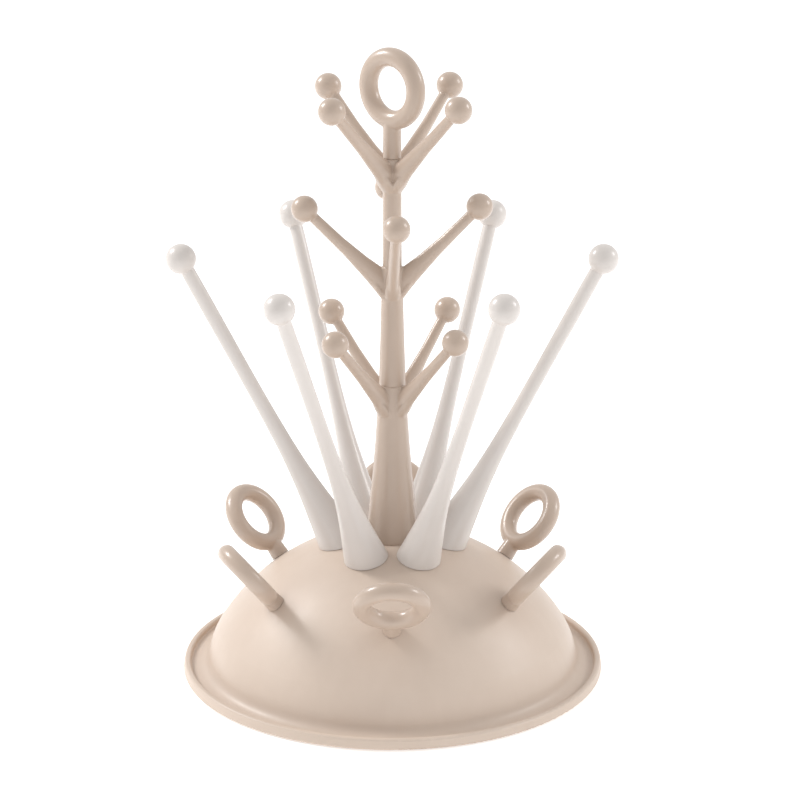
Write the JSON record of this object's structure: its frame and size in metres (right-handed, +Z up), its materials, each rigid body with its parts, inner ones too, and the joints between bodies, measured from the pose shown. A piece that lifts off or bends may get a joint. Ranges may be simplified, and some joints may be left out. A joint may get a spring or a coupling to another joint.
{
  "type": "bottle drying rack",
  "caption": "Domed drip base with a gutter, long leaning ball-ended bottle arms, ring hooks round the shoulder and a stacked tree of short ball-ended branches with a carrying ring.",
  "frame": {"origin": "on the worktop, under the middle of the round base", "axes": "+Z up along the tree; -Y towards the front, where one ring hook stands in the middle; +X to the right seen from the front"},
  "size_m": [0.2506, 0.2406, 0.3601],
  "materials": {
    "base_satin": "moulded beige plastic, fine satin",
    "tree_gloss": "moulded beige plastic, soft gloss",
    "arm_white": "moulded warm white plastic, soft gloss",
    "pad_rubber": "soft grey-beige rubber, matt"
  },
  "bodies": {
    "base": {"base": "base_satin", "foot_pad_1": "pad_rubber", "foot_pad_2": "pad_rubber", "foot_pad_3": "pad_rubber", "foot_pad_4": "pad_rubber", "foot_pad_5": "pad_rubber", "foot_pad_6": "pad_rubber"},
    "bottle_arm_1": {"bottle_arm_1": "arm_white"},
    "bottle_arm_2": {"bottle_arm_2": "arm_white"},
    "bottle_arm_3": {"bottle_arm_3": "arm_white"},
    "bottle_arm_4": {"bottle_arm_4": "arm_white"},
    "bottle_arm_5": {"bottle_arm_5": "arm_white"},
    "bottle_arm_6": {"bottle_arm_6": "arm_white"},
    "ring_hook_1": {"ring_hook_1": "tree_gloss"},
    "ring_hook_2": {"ring_hook_2": "tree_gloss"},
    "ring_hook_3": {"ring_hook_3": "tree_gloss"},
    "ring_hook_4": {"ring_hook_4": "tree_gloss"},
    "ring_hook_5": {"ring_hook_5": "tree_gloss"},
    "ring_hook_6": {"ring_hook_6": "tree_gloss"},
    "trunk_lower": {"trunk_lower": "tree_gloss"},
    "trunk_middle": {"trunk_middle": "tree_gloss"},
    "trunk_upper": {"trunk_upper": "tree_gloss"},
    "top_ring": {"top_ring": "tree_gloss"}
  },
  "joints": [
    {"name": "arm_1_pull", "type": "slide", "parent": "base", "child": "bottle_arm_1", "axis": [0.2309, -0.3999, 0.887], "range_m": [0, 0.022]},
    {"name": "arm_2_pull", "type": "slide", "parent": "base", "child": "bottle_arm_2", "axis": [0.4617, 0, 0.887], "range_m": [0, 0.022]},
    {"name": "arm_3_pull", "type": "slide", "parent": "base", "child": "bottle_arm_3", "axis": [0.2309, 0.3999, 0.887], "range_m": [0, 0.022]},
    {"name": "arm_4_pull", "type": "slide", "parent": "base", "child": "bottle_arm_4", "axis": [-0.2309, 0.3999, 0.887], "range_m": [0, 0.022]},
    {"name": "arm_5_pull", "type": "slide", "parent": "base", "child": "bottle_arm_5", "axis": [-0.4617, 0, 0.887], "range_m": [0, 0.022]},
    {"name": "arm_6_pull", "type": "slide", "parent": "base", "child": "bottle_arm_6", "axis": [-0.2309, -0.3999, 0.887], "range_m": [0, 0.022]},
    {"name": "hook_1_pull", "type": "slide", "parent": "base", "child": "ring_hook_1", "axis": [0, -0.6398, 0.7685], "range_m": [0, 0.018]},
    {"name": "hook_2_pull", "type": "slide", "parent": "base", "child": "ring_hook_2", "axis": [0.5541, -0.3199, 0.7685], "range_m": [0, 0.018]},
    {"name": "hook_3_pull", "type": "slide", "parent": "base", "child": "ring_hook_3", "axis": [0.5541, 0.3199, 0.7685], "range_m": [0, 0.018]},
    {"name": "hook_4_pull", "type": "slide", "parent": "base", "child": "ring_hook_4", "axis": [0, 0.6398, 0.7685], "range_m": [0, 0.018]},
    {"name": "hook_5_pull", "type": "slide", "parent": "base", "child": "ring_hook_5", "axis": [-0.5541, 0.3199, 0.7685], "range_m": [0, 0.018]},
    {"name": "hook_6_pull", "type": "slide", "parent": "base", "child": "ring_hook_6", "axis": [-0.5541, -0.3199, 0.7685], "range_m": [0, 0.018]},
    {"name": "tree_lift", "type": "slide", "parent": "base", "child": "trunk_lower", "axis": [0, 0, 1], "range_m": [0, 0.024]},
    {"name": "middle_lift", "type": "slide", "parent": "trunk_lower", "child": "trunk_middle", "axis": [0, 0, 1], "range_m": [0, 0.02]},
    {"name": "upper_lift", "type": "slide", "parent": "trunk_middle", "child": "trunk_upper", "axis": [0, 0, 1], "range_m": [0, 0.018]},
    {"name": "top_ring_lift", "type": "slide", "parent": "trunk_upper", "child": "top_ring", "axis": [0, 0, 1], "range_m": [0, 0.015]}
  ]
}
